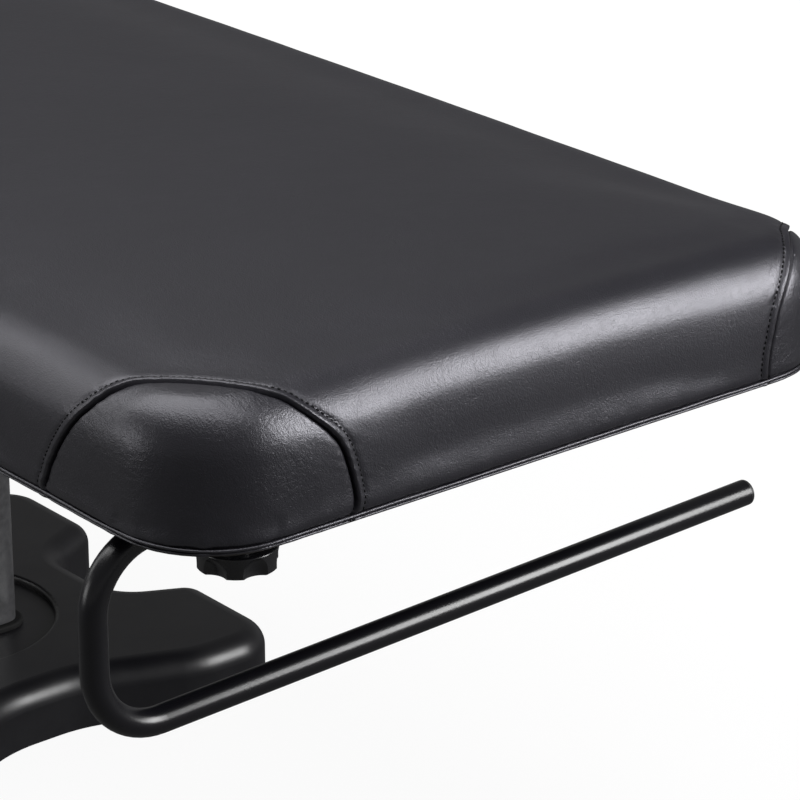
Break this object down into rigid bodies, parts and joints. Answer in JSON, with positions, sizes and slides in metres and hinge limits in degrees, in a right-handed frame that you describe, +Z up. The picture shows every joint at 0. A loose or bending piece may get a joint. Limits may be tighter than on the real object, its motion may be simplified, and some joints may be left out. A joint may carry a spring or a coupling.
{
  "type": "electric treatment table",
  "caption": "Electric treatment table: a flat upholstered top on a telescopic lift column with a moulded butterfly base and a clamped paper roll bar at one end.",
  "frame": {"origin": "on the floor, on the upright middle line of the lift column and of the top", "axes": "+X across the table towards the free end of the paper roll bar, +Y along the table away from the paper roll bar, +Z up"},
  "size_m": [0.7797, 2.032, 0.7239],
  "materials": {
    "vinyl": "satin vinyl with a fine pebble grain",
    "foam": "open cell, matt",
    "plywood": "stained black, matt",
    "frame_paint": "satin powder coat",
    "column_paint": "satin powder coat",
    "glide_plastic": "plain moulded",
    "trim_plastic": "fine moulded texture",
    "zinc_steel": "zinc plated",
    "motor_paint": "satin",
    "cast_aluminium": "as cast",
    "drive_steel": "drawn",
    "base_moulding": "satin, fine moulded texture",
    "rubber": "matt",
    "control_paint": "satin",
    "electrical_plastic": "fine moulded texture",
    "rocker_plastic": "gloss",
    "contact_brass": "bright",
    "bar_powder_coat": "satin powder coat",
    "knob_plastic": "fine moulded texture"
  },
  "bodies": {
    "base": {"base_plate": "frame_paint", "base_cover": "base_moulding", "floor_pads": "rubber", "cover_screws": "zinc_steel", "column_seal": "rubber", "column_outer_tube": "column_paint", "column_foot_flange": "frame_paint", "column_foot_bolts": "zinc_steel", "outer_tube_glides": "glide_plastic", "outer_tube_cap": "trim_plastic", "lift_motor": "motor_paint", "lift_gearbox": "cast_aluminium", "actuator_outer_tube": "drive_steel", "control_box": "control_paint", "control_box_lid": "control_paint", "power_inlet": "electrical_plastic", "inlet_pins": "contact_brass", "mains_switch_housing": "electrical_plastic", "hand_control_socket": "electrical_plastic", "hand_socket_pins": "contact_brass"},
    "middle_stage": {"column_middle_tube": "column_paint", "middle_tube_foot_glides": "glide_plastic", "middle_tube_mouth_glides": "glide_plastic", "middle_tube_cap": "trim_plastic", "actuator_middle_tube": "drive_steel"},
    "top": {"column_inner_tube": "column_paint", "inner_tube_foot_glides": "glide_plastic", "actuator_rod": "drive_steel", "column_head_plate": "frame_paint", "left_rail": "frame_paint", "right_rail": "frame_paint", "foot_cross_member": "frame_paint", "column_cross_member_foot": "frame_paint", "column_cross_member_head": "frame_paint", "head_cross_member": "frame_paint", "rail_screws": "zinc_steel", "top_board": "plywood", "foam_core": "foam", "cushion_cover": "vinyl", "corner_patches": "vinyl", "hem_bead": "vinyl", "bar_socket": "bar_powder_coat", "socket_screws": "zinc_steel", "clamp_nut": "bar_powder_coat"},
    "roll_bar": {"paper_bar": "bar_powder_coat", "bar_end_cap": "trim_plastic", "bar_inner_plug": "trim_plastic"},
    "knob": {"clamp_knob": "knob_plastic", "clamp_stud": "zinc_steel"},
    "rocker": {"mains_switch_rocker": "rocker_plastic"}
  },
  "joints": [
    {"name": "lift_lower", "type": "slide", "parent": "base", "child": "middle_stage", "axis": [0, 0, 1], "range_m": [-0.06, 0.14]},
    {"name": "lift_upper", "type": "slide", "parent": "middle_stage", "child": "top", "axis": [0, 0, 1], "range_m": [-0.06, 0.14]},
    {"name": "bar_slide", "type": "slide", "parent": "top", "child": "roll_bar", "axis": [-1, 0, 0], "range_m": [0, 0.07]},
    {"name": "knob_turn", "type": "hinge", "parent": "top", "child": "knob", "pos_m": [-0.236, -0.888, 0.53], "axis": [0, 0, 1], "continuous": true},
    {"name": "switch_rock", "type": "hinge", "parent": "base", "child": "rocker", "pos_m": [0.002, 0.21, 0.032], "axis": [0, 0, 1], "range_deg": [-10, 10]}
  ],
  "couplings": [
    {"joint": "lift_lower", "follows": "lift_upper", "ratio": 1}
  ]
}
